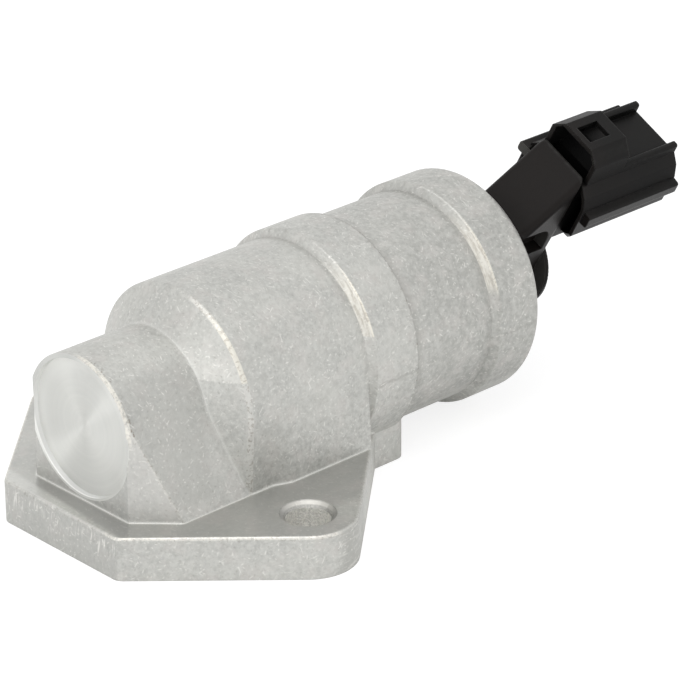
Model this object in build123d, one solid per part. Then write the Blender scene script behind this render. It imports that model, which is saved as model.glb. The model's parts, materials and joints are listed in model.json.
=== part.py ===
from build123d import *
import math
import os

# Idle air control valve: a die-cast body with a two-hole flange, a poppet valve on a sliding rod,
# a pull solenoid in the barrel and a moulded cap that carries the wiring socket.
# Millimetres. X runs along the barrel towards the socket, Z is up from the mounting face.
# The origin is on the mounting face, midway between the two bolt holes.

# Mounting flange
flange_thickness = 7.0
bolt_spacing = 52.7
bolt_hole_dia = 6.8
bolt_mouth_dia = 8.6
ear_radius = 7.6
front_edge_reach = 25.6
front_edge_length = 26.0
tail_width = 26.0
tail_start = 26.2
tail_reach = 33.0
flange_corner_radius = 2.0
flange_edge_radius = 0.5

# Barrel of the casting
ground_gap = 0.4
collar_radius = 18.25
front_barrel_radius = 16.9
band_radius = 18.1
rear_barrel_radius = 17.0
shoulder_start = -6.4
shoulder_end = -2.5
shoulder_edge_radius = 1.2
band_start = 21.3
band_length = 9.3
band_ramp = 1.0
band_back_ramp = 0.4
collar_length = 9.7
collar_ramp = 0.9
rim_radius = 1.4
step_edge_radius = 0.35
skirt_tuck = 0.7
skirt_flare = 0.8
skirt_tuck_end = 2.0
skirt_flare_start = 5.0
skirt_corner = 0.8

# Nose of the casting
nose_radius = 11.6
nose_front = -21.1
nose_front_width = 21.2
nose_base_width = 32.8
spot_face_radius = 10.85
spot_face_depth = 0.95

# Air path through the casting
inlet_chamber_radius = 8.0
inlet_chamber_length = 13.0
outlet_chamber_radius = 12.5
inlet_port_x = -6.5
inlet_port_width = 11.0
inlet_port_length = 20.0
outlet_port_x = 13.0
outlet_port_width = 12.0
outlet_port_length = 22.0
port_depth_below_axis = 3.5

# Valve, seat and rod
seat_radius = 10.0
seat_length = 4.0
orifice_radius = 6.0
seat_cone_depth = 2.0
valve_gap = 0.15
stroke = 4.0
rod_radius = 2.0
head_radius = 8.6
head_rim_length = 1.5
head_hub_radius = 3.6
head_hub_length = 3.6
head_nose_radius = 4.6
clip_thickness = 0.8
clip_radius = 3.6
clip_groove_depth = 0.4
clip_mouth = 2.6
bush_radius = 3.8
front_bush_length = 8.0
front_bush_depth = 5.0
rear_bush_overhang = 1.2
rod_end_room = 0.7

# Return spring
spring_radius = 5.4
spring_wire_radius = 0.5
spring_turns = 5.0
spring_end_gap = 0.1

# Solenoid, stacked from the bore's shoulder to the rolled lip
solenoid_start = 22.0
barrel_wall = 2.0
pole_plate_thickness = 3.0
coil_length = 24.4
plunger_radius = 6.0
plunger_start = 28.0
plunger_length = 12.0
plunger_rest_room = 0.3
shim_thickness = 0.3
guide_tube_wall = 0.4
bobbin_wall = 1.1
bobbin_flange = 1.2
bobbin_lip = 0.5
winding_depth = 4.8
yoke_wall = 1.5
core_spigot_radius = 4.5
washer_thickness = 0.6
washer_inner_radius = 11.4
o_ring_radius = 0.72
o_ring_groove_depth = 1.42
o_ring_groove_width = 1.7
lip_thickness = 1.25

# Fits: a running fit for what slides, a seated fit for what is pressed or stacked, a loose fit
# for what only passes through, and the overrun that takes a cut clear of a face
running_fit = 0.05
plunger_fit = 0.15
seated_fit = 0.02
loose_fit = 0.3
overrun = 1.0

# Connector cap, set out along the barrel axis and then turned about it
clock_angle = 28.0
cap_flange_thickness = 2.9
spigot_radius = 12.9
spigot_reach = 3.2
spigot_edge_radius = 0.8
disc_radius = 8.2
disc_start = 11.4
disc_thickness = 0.8
disc_edge_radius = 0.2
socket_offset = 12.8
socket_length = 21.4
neck_width = 10.8
neck_top = 22.4
neck_foot = -6.0
neck_slope = 44.0
neck_lean = 3.5
neck_edge_radius = 1.2
tongue_width = 9.5
tongue_bottom = 9.0
tongue_cover = 1.6
recess_top = 12.8
recess_bottom = 7.9
recess_reach = 10.1
recess_depth = 2.1
recess_corner_radius = 2.6

# Socket section, heights measured from the barrel axis
socket_top = 21.0
socket_bottom = 9.8
socket_brow = 19.4
socket_upper_shoulder = 17.3
socket_lower_shoulder = 11.8
socket_top_width = 10.4
socket_brow_width = 13.4
socket_mid_width = 15.0
socket_bottom_width = 12.4
socket_corner_radius = 0.75
socket_wall = 1.7
socket_depth = 15.4
rear_pocket_depth = 3.4
rear_pocket_wall = 0.6
rear_pocket_relief = 1.4
near_rail_setback = 0.6
near_rail_reach = 8.8
near_rail_top = 17.5
near_rail_slope = 0.6
near_rail_thickness = 2.2
far_rail_setback = -1.1
far_rail_reach = 8.0
far_rail_top = 19.2
far_rail_slope = 0.0
far_rail_thickness = 1.8
near_top_rail_side = 5.3
far_top_rail_side = 5.5
top_rail_height = 1.55
top_rail_width = 1.2
rail_edge_radius = 0.45
bridge_setback = 0.85
bridge_length = 8.0
bridge_width = 10.6
bridge_top = 26.95
bridge_bevel = 2.2
bridge_wall = 0.85
latch_window_x = 4.2
latch_window_length = 4.5
latch_window_width = 3.3

# Terminals
terminal_pitch = 4.6
terminal_width = 1.8
terminal_thickness = 0.8
terminal_root_height = 9.5
terminal_bend_angle = 45.0
terminal_bend_setback = 4.1
terminal_tip_room = 5.4
terminal_tip_taper = 0.25

# Places worked out from the sizes above
axis_height = collar_radius + ground_gap
bore_radius = rear_barrel_radius - barrel_wall
front_pole_end = solenoid_start + pole_plate_thickness
coil_end = front_pole_end + coil_length
rear_pole_end = coil_end + pole_plate_thickness
cap_start = rear_pole_end + washer_thickness
cap_flange_end = cap_start + cap_flange_thickness
lip_start = cap_flange_end + seated_fit
rim_x = lip_start + lip_thickness
spigot_end = rim_x + spigot_reach
socket_x = rim_x + socket_offset
mouth_x = socket_x + socket_length
socket_mid = (socket_top + socket_bottom) / 2
nose_face = nose_front + spot_face_depth
stack_radius = bore_radius - seated_fit
cone_shift = valve_gap * math.sqrt(2)

on_axis = Pos(0, 0, axis_height)
clocked = Pos(0, 0, axis_height) * Rot(clock_angle, 0, 0)


def turned(*points):
    """Solid of revolution about the barrel axis, from (x, radius) points."""
    return revolve(turned_profile(*points), Axis.X)


def turned_profile(*points):
    """Closed half section in the X-Z plane, from (x, radius) points."""
    return make_face(Polyline(*[(x, 0, radius) for x, radius in points], close=True))


def ring(start, end, inner, outer):
    """Round sleeve or disc on the barrel axis."""
    return turned((start, inner), (end, inner), (end, outer), (start, outer))


def rod(start, end, radius):
    """Solid round bar on the barrel axis."""
    return ring(start, end, 0, radius)


def round_corner(face, point, radius):
    """Rounds the corner of a flat face that lies nearest to a point."""
    corner = face.vertices().sort_by_distance(point)[0]
    return fillet(corner, radius)


def torus_ring(x, pitch_radius, section_radius):
    """Rubber ring of round section about the barrel axis."""
    return Pos(x, 0, 0) * Rot(0, 90, 0) * Torus(pitch_radius, section_radius)


def slot_port(x, width, length, top):
    """Round-ended air port, long across the flange, cut up from the mounting face."""
    outline = Pos(x, 0, -overrun) * Rot(0, 0, 90) * SlotOverall(length, width)
    return extrude(outline, top + overrun)


def across(points, width):
    """Plate of a given width, centred on the socket's middle plane, from (x, height) points."""
    outline = make_face(Polyline(*[(x, 0, height) for x, height in points], close=True))
    return extrude(outline, width / 2, dir=(0, 1, 0), both=True)


def along(points, start, length):
    """Bar of constant section along the barrel, from (side, height) points."""
    outline = make_face(Polyline(*[(start, side, height) for side, height in points], close=True))
    return extrude(outline, length, dir=(1, 0, 0))


def mirrored(points):
    """Closed section, from the points of its right half, listed from the top down."""
    return points + [(-side, height) for side, height in reversed(points)]


def mirrored_plan(points):
    """Closed plan outline, from the points of its +Y half, listed front to back."""
    return points + [(x, -side) for x, side in reversed(points)]


def flange():
    """Six-sided plate with rounded ears round the bolts and a straight tail under the barrel."""
    half_front = front_edge_length / 2
    half_tail = tail_width / 2
    ears = [Pos(0, side * bolt_spacing / 2) * CenterArc((0, 0), ear_radius, 0, 360) for side in (-1, 1)]
    front = Line((-front_edge_reach, -half_front), (-front_edge_reach, half_front))
    waist = Line((tail_start, -half_tail), (tail_start, half_tail))
    outline = make_hull(ShapeList(ears + [front, waist]))
    outline += Pos(tail_reach / 2, 0) * Rectangle(tail_reach, tail_width)
    for side in (-1, 1):
        outline = round_corner(outline, (-front_edge_reach, side * half_front), flange_corner_radius)
        outline = round_corner(outline, (tail_reach, side * half_tail), flange_corner_radius)
    plate = extrude(outline, flange_thickness)
    return fillet(plate.faces().sort_by(Axis.Z)[-1].edges(), flange_edge_radius)


def barrel():
    """Stepped round barrel: shoulder cone, front barrel, raised band, rear barrel, collar."""
    band_end = band_start + band_length
    collar_start = rim_x - collar_length
    points = [
        (shoulder_start, 0),
        (shoulder_start, nose_radius),
        (shoulder_end, front_barrel_radius),
        (band_start, front_barrel_radius),
        (band_start + band_ramp, band_radius),
        (band_end, band_radius),
        (band_end + band_back_ramp, rear_barrel_radius),
        (collar_start, rear_barrel_radius),
        (collar_start + collar_ramp, collar_radius),
        (rim_x, collar_radius),
        (rim_x, 0),
    ]
    profile = turned_profile(*points)
    rounded = {2: shoulder_edge_radius, 4: step_edge_radius, 8: step_edge_radius, 9: rim_radius}
    for index, radius in rounded.items():
        x, height = points[index]
        profile = round_corner(profile, (x, 0, height), radius)
    return on_axis * revolve(profile, Axis.X)


def skirt_outline(height, front, rear):
    """Plan of the flanks at one height, with its front and rear half widths."""
    turn = math.atan2(front_barrel_radius - nose_radius, shoulder_end - shoulder_start)
    trim = shoulder_edge_radius * math.tan(turn / 2)
    skirt_end = band_start + band_ramp / 2
    corner = skirt_corner * math.sqrt(0.5)
    half_outline = [
        (shoulder_start, nose_radius),
        (shoulder_end - trim * math.cos(turn), front - trim * math.sin(turn)),
        (shoulder_end + trim, front),
        (skirt_tuck_end, front),
        (skirt_flare_start, rear),
        (skirt_end - corner, rear),
        (skirt_end, rear - corner),
    ]
    points = mirrored_plan(half_outline)
    return make_face(Polyline(*[(x, side, height) for x, side in points], close=True))


def skirt():
    """Flanks that carry the front barrel down into the flange, tucked in ahead and flared behind."""
    tucked = front_barrel_radius - skirt_tuck
    flared = front_barrel_radius + skirt_flare
    foot = skirt_outline(flange_thickness / 2, tucked, flared)
    crown = skirt_outline(axis_height, front_barrel_radius, front_barrel_radius)
    return loft([foot, crown], ruled=True)


def nose():
    """Arched snout with leaning flanks and two upright bevels at its front corners."""
    base_half = nose_base_width / 2
    front_half = nose_front_width / 2
    arch = Pos(0, axis_height) * CenterArc((0, 0), nose_radius, 0, 360)
    foot = Line((-base_half, flange_thickness), (base_half, flange_thickness))
    section = make_hull(ShapeList([arch, foot]))
    length = shoulder_end - nose_front
    snout = Plane(origin=(nose_front, 0, 0), x_dir=(0, 1, 0), z_dir=(1, 0, 0)) * extrude(section, length)
    bevel = base_half - front_half
    plan = make_face(Polyline(*mirrored_plan([
        (nose_front, front_half),
        (nose_front + bevel, base_half),
        (shoulder_end, base_half),
    ]), close=True))
    snout = snout & extrude(plan, axis_height + nose_radius + overrun)
    root = Pos(0, 0, flange_thickness / 2) * extrude(plan, flange_thickness / 2)
    return snout + root


def body_cavity():
    """Rod guide pocket, inlet chamber, seat pocket, outlet chamber, solenoid bore and lip hole."""
    pocket_start = -inlet_chamber_length - front_bush_depth
    return on_axis * turned(
        (pocket_start - rod_end_room, 0),
        (pocket_start - rod_end_room, rod_radius + rod_end_room),
        (pocket_start, rod_radius + rod_end_room),
        (pocket_start, bush_radius + seated_fit),
        (-inlet_chamber_length, bush_radius + seated_fit),
        (-inlet_chamber_length, inlet_chamber_radius),
        (0, inlet_chamber_radius),
        (0, seat_radius + seated_fit),
        (seat_length, seat_radius + seated_fit),
        (seat_length, outlet_chamber_radius),
        (solenoid_start, outlet_chamber_radius),
        (solenoid_start, bore_radius),
        (lip_start, bore_radius),
        (lip_start, spigot_radius + plunger_fit),
        (rim_x + overrun, spigot_radius + plunger_fit),
        (rim_x + overrun, 0),
    )


def bolt_holes():
    """Two clearance holes, each with a chamfered mouth on the flange's top."""
    mouth = (bolt_mouth_dia - bolt_hole_dia) / 2
    hole = Pos(0, 0, flange_thickness / 2) * Cylinder(bolt_hole_dia / 2, flange_thickness + 2 * overrun)
    flare = Pos(0, 0, flange_thickness - mouth / 2) * Cone(bolt_hole_dia / 2, bolt_mouth_dia / 2, mouth)
    return [Pos(0, side * bolt_spacing / 2, 0) * (hole + flare) for side in (-1, 1)]


def valve_body():
    """The casting: flange, nose, barrel and everything cut into them."""
    port_top = axis_height - port_depth_below_axis
    casting = flange() + nose() + barrel() + skirt()
    casting -= body_cavity()
    casting -= slot_port(inlet_port_x, inlet_port_width, inlet_port_length, port_top)
    casting -= slot_port(outlet_port_x, outlet_port_width, outlet_port_length, port_top)
    casting -= on_axis * rod(nose_front - overrun, nose_face, spot_face_radius)
    return casting - bolt_holes()


def valve_seat():
    """Turned ring pressed into the web between the chambers, coned on its outlet side."""
    cone_start = seat_length - seat_cone_depth
    return turned(
        (0, orifice_radius),
        (cone_start, orifice_radius),
        (seat_length, orifice_radius + seat_cone_depth),
        (seat_length, seat_radius),
        (0, seat_radius),
    )


def head_x(radius):
    """Where the closed head's cone has a given radius."""
    return seat_length - seat_cone_depth + cone_shift + radius - orifice_radius


def valve_head():
    """Coned poppet on the outlet side of the seat, with a hub that centres the spring."""
    back = head_x(head_radius) + head_rim_length
    front = head_x(head_nose_radius)
    return turned(
        (front, rod_radius),
        (front, head_nose_radius),
        (head_x(head_radius), head_radius),
        (back, head_radius),
        (back, head_hub_radius),
        (back + head_hub_length, head_hub_radius),
        (back + head_hub_length, rod_radius),
    )


def head_clip():
    """Open ring in the rod's groove, which holds the head from the front."""
    end = head_x(head_nose_radius)
    washer = ring(end - clip_thickness, end, rod_radius - clip_groove_depth, clip_radius)
    mouth = Pos(end - clip_thickness / 2, 0, -clip_radius) * Box(2 * clip_thickness, clip_mouth, 2 * clip_radius)
    return washer - mouth


def valve_rod():
    """Ground rod from the front bush to the back of the plunger, grooved for the clip."""
    start = -inlet_chamber_length - front_bush_depth
    clip_end = head_x(head_nose_radius)
    bar = rod(start, plunger_start + plunger_length, rod_radius)
    groove = ring(clip_end - clip_thickness, clip_end, rod_radius - clip_groove_depth, rod_radius + overrun)
    return bar - groove


def front_bush():
    """Bearing bush in the nose."""
    start = -inlet_chamber_length - front_bush_depth
    return ring(start, start + front_bush_length, rod_radius + running_fit, bush_radius)


def rear_bush():
    """Bearing bush in the front pole plate."""
    start = solenoid_start - rear_bush_overhang
    end = front_pole_end + rear_bush_overhang
    return ring(start, end, rod_radius + running_fit, bush_radius)


def return_spring():
    """Coil spring between the valve head and the front pole plate."""
    start = head_x(head_radius) + head_rim_length + spring_end_gap + spring_wire_radius
    end = solenoid_start - spring_end_gap - spring_wire_radius
    path = Pos(start, 0, 0) * Rot(0, 90, 0) * Helix((end - start) / spring_turns, end - start, spring_radius)
    section = Plane(origin=path @ 0, z_dir=path % 0) * Circle(spring_wire_radius)
    return sweep(section, path, is_frenet=True)


def front_pole_plate():
    """Steel plate that closes the outlet chamber, with a groove for its sealing ring."""
    plate = ring(solenoid_start, front_pole_end, bush_radius + seated_fit, stack_radius)
    return plate - seal_groove(solenoid_start + pole_plate_thickness / 2)


def seal_groove(x):
    """Square groove for a sealing ring, cut in from the bore."""
    half = o_ring_groove_width / 2
    return ring(x - half, x + half, bore_radius - o_ring_groove_depth, bore_radius + overrun)


def sealing_ring(x):
    """Rubber ring between a groove's floor and the bore."""
    return torus_ring(x, bore_radius - o_ring_groove_depth / 2, o_ring_radius - seated_fit)


def guide_tube():
    """Thin brass sleeve that the plunger slides in."""
    inner = plunger_radius + plunger_fit
    return ring(front_pole_end, coil_end, inner, inner + guide_tube_wall)


def plunger():
    """Steel armature pressed on the rod's rear end."""
    return ring(plunger_start, plunger_start + plunger_length, rod_radius, plunger_radius)


def core_front():
    """Where the fixed core's front face stops the plunger, shim included."""
    return plunger_start + plunger_length + stroke + plunger_rest_room


def stop_shim():
    """Brass shim on the fixed core, which keeps the plunger from sticking."""
    return rod(core_front(), core_front() + shim_thickness, plunger_radius - plunger_fit)


def fixed_core():
    """Steel core that pulls the plunger, riveted through the rear pole plate."""
    neck = rod(coil_end, rear_pole_end, core_spigot_radius)
    return rod(core_front() + shim_thickness, coil_end, plunger_radius + plunger_fit - seated_fit) + neck


def coil_bobbin():
    """Moulded spool with two flanges."""
    inner = plunger_radius + plunger_fit + guide_tube_wall + seated_fit
    waist = inner + bobbin_wall
    outer = waist + winding_depth + bobbin_lip
    return turned(
        (front_pole_end, inner),
        (coil_end, inner),
        (coil_end, outer),
        (coil_end - bobbin_flange, outer),
        (coil_end - bobbin_flange, waist),
        (front_pole_end + bobbin_flange, waist),
        (front_pole_end + bobbin_flange, outer),
        (front_pole_end, outer),
    )


def coil_winding():
    """Enamelled copper winding, as one solid."""
    inner = plunger_radius + plunger_fit + guide_tube_wall + seated_fit + bobbin_wall
    start = front_pole_end + bobbin_flange
    return ring(start, coil_end - bobbin_flange, inner, inner + winding_depth)


def yoke_tube():
    """Steel sleeve that carries the flux from plate to plate."""
    return ring(front_pole_end, coil_end, stack_radius - yoke_wall, stack_radius)


def terminal_window():
    """Slot that lets both terminals through the rear pole plate."""
    width = terminal_pitch + terminal_width + 2 * loose_fit
    height = terminal_thickness + 2 * loose_fit
    length = pole_plate_thickness + 2 * overrun
    return Pos(coil_end + pole_plate_thickness / 2, 0, terminal_root_height) * Box(length, width, height)


def rear_pole_plate():
    """Steel plate behind the coil, with the core's hole and a window for the terminals."""
    plate = ring(coil_end, rear_pole_end, core_spigot_radius + seated_fit, stack_radius)
    return Rot(clock_angle, 0, 0) * (plate - terminal_window())


def spring_washer():
    """Spring washer, pressed flat between the rear pole plate and the cap."""
    return ring(rear_pole_end, cap_start, washer_inner_radius, stack_radius - loose_fit)


def terminal_path():
    """Corner points of a terminal, from the coil through the neck to its tip in the socket."""
    slope = math.radians(terminal_bend_angle)
    rise = socket_mid - terminal_root_height
    bend_end = socket_x - terminal_bend_setback
    bend_start = bend_end - rise / math.tan(slope)
    tip = mouth_x - terminal_tip_room
    half = terminal_thickness / 2
    reach = half * math.tan(slope / 2)
    low = terminal_root_height
    high = socket_mid
    return [
        (coil_end, low - half),
        (bend_start + reach, low - half),
        (bend_end + reach, high - half),
        (tip, high - half),
        (tip + terminal_thickness, high - terminal_tip_taper),
        (tip + terminal_thickness, high + terminal_tip_taper),
        (tip, high + half),
        (bend_end - reach, high + half),
        (bend_start - reach, low + half),
        (coil_end, low + half),
    ]


def terminal(side):
    """Flat blade, bent twice, moulded into the cap."""
    return Pos(0, side * terminal_pitch / 2, 0) * across(terminal_path(), terminal_width)


def cap_base():
    """Round flange under the rolled lip, the spigot through it and the disc behind the neck."""
    half_section = turned_profile(
        (cap_start, 0),
        (cap_start, stack_radius),
        (cap_flange_end, stack_radius),
        (cap_flange_end, spigot_radius),
        (spigot_end, spigot_radius),
        (spigot_end, 0),
    )
    half_section = round_corner(half_section, (spigot_end, 0, spigot_radius), spigot_edge_radius)
    start = rim_x + disc_start
    disc = rod(start, start + disc_thickness, disc_radius)
    disc = fillet(disc.edges().filter_by(GeomType.CIRCLE), disc_edge_radius)
    return revolve(half_section, Axis.X) - seal_groove(cap_start + cap_flange_thickness / 2) + disc


def neck_recess(side):
    """Shallow cored-out recess low in one side of the neck, rounded at its far top corner."""
    start = spigot_end - overrun
    end = rim_x + recess_reach
    floor = neck_width / 2 - recess_depth
    outline = make_face(Polyline(
        (start, side * floor, recess_bottom),
        (start, side * floor, recess_top),
        (end, side * floor, recess_top),
        (end, side * floor, recess_bottom),
        close=True,
    ))
    outline = round_corner(outline, (end, side * floor, recess_top), recess_corner_radius)
    return extrude(outline, recess_depth + overrun, dir=(0, side, 0))


def cap_neck():
    """Wedge-shaped neck that climbs from the spigot to the socket, with a tongue round the terminals."""
    climb = math.tan(math.radians(neck_slope))
    lean = math.tan(math.radians(neck_lean)) * (neck_top - neck_foot)
    wedge = across([
        (rim_x, neck_foot),
        (rim_x, neck_top - socket_offset * climb),
        (socket_x, neck_top),
        (socket_x - lean, neck_foot),
    ], neck_width)
    slope = wedge.faces().sort_by(Axis.Z)[-1]
    back = wedge.faces().sort_by(Axis.X)[-1]
    long_edges = (slope.edges() + back.edges()).filter_by(Axis.Y, reverse=True)
    wedge = fillet(long_edges, neck_edge_radius)
    tongue_top = socket_mid + terminal_thickness / 2 + tongue_cover
    tongue = across([
        (socket_x - lean - overrun, tongue_bottom),
        (socket_x - lean - overrun, tongue_top),
        (socket_x + rear_pocket_depth + overrun, tongue_top),
        (socket_x + rear_pocket_depth + overrun, tongue_bottom),
    ], tongue_width)
    return wedge + tongue - [neck_recess(side) for side in (-1, 1)]


def socket_outline(inset):
    """Bulging socket section, taken in from the outside by a given amount."""
    return mirrored([
        (socket_top_width / 2 - inset, socket_top - inset),
        (socket_brow_width / 2 - inset, socket_brow - inset / 2),
        (socket_mid_width / 2 - inset, socket_upper_shoulder),
        (socket_mid_width / 2 - inset, socket_lower_shoulder),
        (socket_bottom_width / 2 - inset, socket_bottom + inset),
    ])


def socket_body():
    """Outside of the socket, with its long edges rounded."""
    body = along(socket_outline(0), socket_x, socket_length)
    return fillet(body.edges().filter_by(Axis.X), socket_corner_radius)


def socket_hollows():
    """The plug's cavity at the mouth and the pocket at the back, open into the bridge and below."""
    cavity = along(socket_outline(socket_wall), mouth_x - socket_depth, socket_depth + overrun)
    start = socket_x - overrun
    length = rear_pocket_depth + overrun
    pocket = along(socket_outline(rear_pocket_wall), start, length)
    half = bridge_width / 2 - bridge_wall
    roof = along(mirrored([(half, socket_top + rear_pocket_wall), (half, socket_mid)]), start, length)
    relief = across([
        (start, socket_bottom - overrun),
        (start, socket_lower_shoulder),
        (socket_x, socket_lower_shoulder),
        (socket_x + rear_pocket_relief, socket_bottom),
        (socket_x + rear_pocket_relief, socket_bottom - overrun),
    ], socket_mid_width + overrun)
    return [cavity, pocket, roof, relief]


def outer_rounded(bar, side, radius):
    """Rounds the two long edges of a bar that stand furthest out on one side."""
    edges = bar.edges().filter_by(Axis.X).sort_by(Axis.Y)
    return fillet(edges[-2:] if side > 0 else edges[:2], radius)


def side_rail(side, setback, reach, top, slope, thickness):
    """Guide rail along one flank of the socket, from near its back to the mouth."""
    start = socket_x + setback
    root = socket_top_width / 2 - socket_wall / 2
    rail = along([
        (side * root, top),
        (side * reach, top - slope),
        (side * reach, top - slope - thickness),
        (side * root, top - slope - thickness),
    ], start, mouth_x - start)
    return outer_rounded(rail, side, rail_edge_radius)


def top_rail(side, outer):
    """Short rail on the socket's roof, from the latch bridge to the mouth."""
    start = socket_x + bridge_setback + bridge_length
    inner = outer - top_rail_width
    rail = along([
        (side * outer, socket_top - socket_wall / 2),
        (side * outer, socket_top + top_rail_height),
        (side * inner, socket_top + top_rail_height),
        (side * inner, socket_top - socket_wall / 2),
    ], start, mouth_x - start)
    crown = rail.edges().filter_by(Axis.X).sort_by(Axis.Z)[-2:]
    return fillet(crown, rail_edge_radius)


def latch_bridge():
    """Hollow bridge over the socket's back, with the window that a plug's latch snaps into."""
    half = bridge_width / 2
    start = socket_x + bridge_setback
    roof = along(mirrored([
        (half - bridge_bevel, bridge_top),
        (half, bridge_top - bridge_bevel),
        (half, socket_top - socket_wall),
    ]), start, bridge_length)
    tunnel = along(mirrored([
        (half - bridge_wall - bridge_bevel / 2, bridge_top - bridge_wall),
        (half - bridge_wall, bridge_top - bridge_wall - bridge_bevel / 2),
        (half - bridge_wall, socket_top),
    ]), start - overrun, bridge_length + 2 * overrun)
    window = Box(latch_window_length, latch_window_width, 2 * (bridge_wall + overrun))
    return roof - tunnel - Pos(socket_x + latch_window_x, 0, bridge_top) * window


def connector_cap():
    """Cap, neck and socket as one moulding, with both terminals moulded in."""
    moulding = socket_body() + latch_bridge()
    moulding += [
        side_rail(-1, near_rail_setback, near_rail_reach, near_rail_top, near_rail_slope, near_rail_thickness),
        side_rail(1, far_rail_setback, far_rail_reach, far_rail_top, far_rail_slope, far_rail_thickness),
        top_rail(-1, near_top_rail_side),
        top_rail(1, far_top_rail_side),
    ]
    moulding -= socket_hollows()
    moulding += cap_base() + cap_neck()
    return moulding - [terminal(side) for side in (-1, 1)]


parts = {
    "valve_body": valve_body(),
    "valve_seat": on_axis * valve_seat(),
    "valve_head": on_axis * valve_head(),
    "head_clip": on_axis * head_clip(),
    "valve_rod": on_axis * valve_rod(),
    "front_bush": on_axis * front_bush(),
    "rear_bush": on_axis * rear_bush(),
    "return_spring": on_axis * return_spring(),
    "front_pole_plate": on_axis * front_pole_plate(),
    "chamber_o_ring": on_axis * sealing_ring(solenoid_start + pole_plate_thickness / 2),
    "guide_tube": on_axis * guide_tube(),
    "plunger": on_axis * plunger(),
    "stop_shim": on_axis * stop_shim(),
    "fixed_core": on_axis * fixed_core(),
    "coil_bobbin": on_axis * coil_bobbin(),
    "coil_winding": on_axis * coil_winding(),
    "yoke_tube": on_axis * yoke_tube(),
    "rear_pole_plate": on_axis * rear_pole_plate(),
    "spring_washer": on_axis * spring_washer(),
    "cap_o_ring": on_axis * sealing_ring(cap_start + cap_flange_thickness / 2),
    "connector_cap": clocked * connector_cap(),
    "left_terminal": clocked * terminal(1),
    "right_terminal": clocked * terminal(-1),
}

os.makedirs("parts", exist_ok=True)
for name, solid in parts.items():
    export_step(solid, f"parts/{name}.step")
    print(name, round(solid.volume, 1), "mm3")
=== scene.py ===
# %% [markdown]
# An idle air control valve, dressed in Blender as a lesson in cells.
# The valve sits beside an engine's throttle and lets a little air past it. Its shape is finished
# before Blender starts: a die-cast body, a black wiring connector and the small working parts inside.
# What is left for Blender is how it looks, so this lesson makes finishes, a floor, light and a camera.
# Everything is in metres, in the frame of the packed model, so nothing has to be fitted by eye.

# %% Load the packed model
import json
import math
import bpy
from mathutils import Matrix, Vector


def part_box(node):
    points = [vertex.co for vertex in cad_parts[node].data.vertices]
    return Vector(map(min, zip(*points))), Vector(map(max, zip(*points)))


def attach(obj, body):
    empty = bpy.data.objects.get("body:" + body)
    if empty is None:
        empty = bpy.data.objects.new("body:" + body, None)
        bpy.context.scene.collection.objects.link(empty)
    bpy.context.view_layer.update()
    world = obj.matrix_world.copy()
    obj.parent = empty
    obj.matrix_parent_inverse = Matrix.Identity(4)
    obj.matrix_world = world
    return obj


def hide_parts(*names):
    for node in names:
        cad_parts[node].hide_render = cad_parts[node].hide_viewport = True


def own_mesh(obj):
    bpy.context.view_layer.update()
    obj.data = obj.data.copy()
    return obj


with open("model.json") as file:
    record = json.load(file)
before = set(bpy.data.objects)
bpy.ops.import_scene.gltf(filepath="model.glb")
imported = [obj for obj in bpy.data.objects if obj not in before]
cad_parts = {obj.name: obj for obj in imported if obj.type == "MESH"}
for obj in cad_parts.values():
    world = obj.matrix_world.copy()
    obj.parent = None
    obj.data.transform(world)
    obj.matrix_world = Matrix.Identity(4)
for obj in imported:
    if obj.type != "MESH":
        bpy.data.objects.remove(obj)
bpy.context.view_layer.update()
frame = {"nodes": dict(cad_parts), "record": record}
from types import SimpleNamespace
import bpy
from mathutils import Matrix, Vector

MM = 1000.0
nodes = frame["nodes"]

# %% [markdown]
# The camera comes first, because every later judgement is made through it.
# A catalogue photograph is taken from far off with a long lens, which keeps parallel edges nearly
# parallel. Three angles and a Track To constraint could aim the camera, but a matrix with the camera's
# own right, up and back directions as its columns is easier to check, and allows the slight roll.

# %% Camera
CAMERA_PLACE = Vector((-0.32285, -0.38041, 0.25957))
AZIMUTH, ELEVATION, ROLL = (math.radians(angle) for angle in (42.94, 25.12, -0.42))
LENS_MM = 195.5
SENSOR_MM = 36

level_right = Vector((math.cos(AZIMUTH), -math.sin(AZIMUTH), 0))
level_ahead = Vector((math.sin(AZIMUTH), math.cos(AZIMUTH), 0))
ahead = level_ahead * math.cos(ELEVATION) - Vector((0, 0, math.sin(ELEVATION)))
level_up = level_right.cross(ahead)
right = level_right * math.cos(ROLL) + level_up * math.sin(ROLL)
up = level_up * math.cos(ROLL) - level_right * math.sin(ROLL)

camera = bpy.data.objects.new("studio_camera", bpy.data.cameras.new("studio_camera"))
camera.data.lens = LENS_MM
camera.data.sensor_width = SENSOR_MM
turn = Matrix((right, up, -ahead)).transposed().to_4x4()
camera.matrix_world = Matrix.Translation(CAMERA_PLACE) @ turn
bpy.context.scene.collection.objects.link(camera)
bpy.context.scene.camera = camera
print("camera", round(CAMERA_PLACE.length, 3), "m from the origin, lens", LENS_MM, "mm")

# %% [markdown]
# A finish is a tree of shader nodes. Trees can be drawn by hand in the Shader Editor, but a long one is
# easier to read as sums, so a Wire stands for one output socket and turns sums into Math nodes.
# With it, "1 - mask" or "height * 0.2" can be written as it is said, and rise() is a smooth step.


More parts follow.
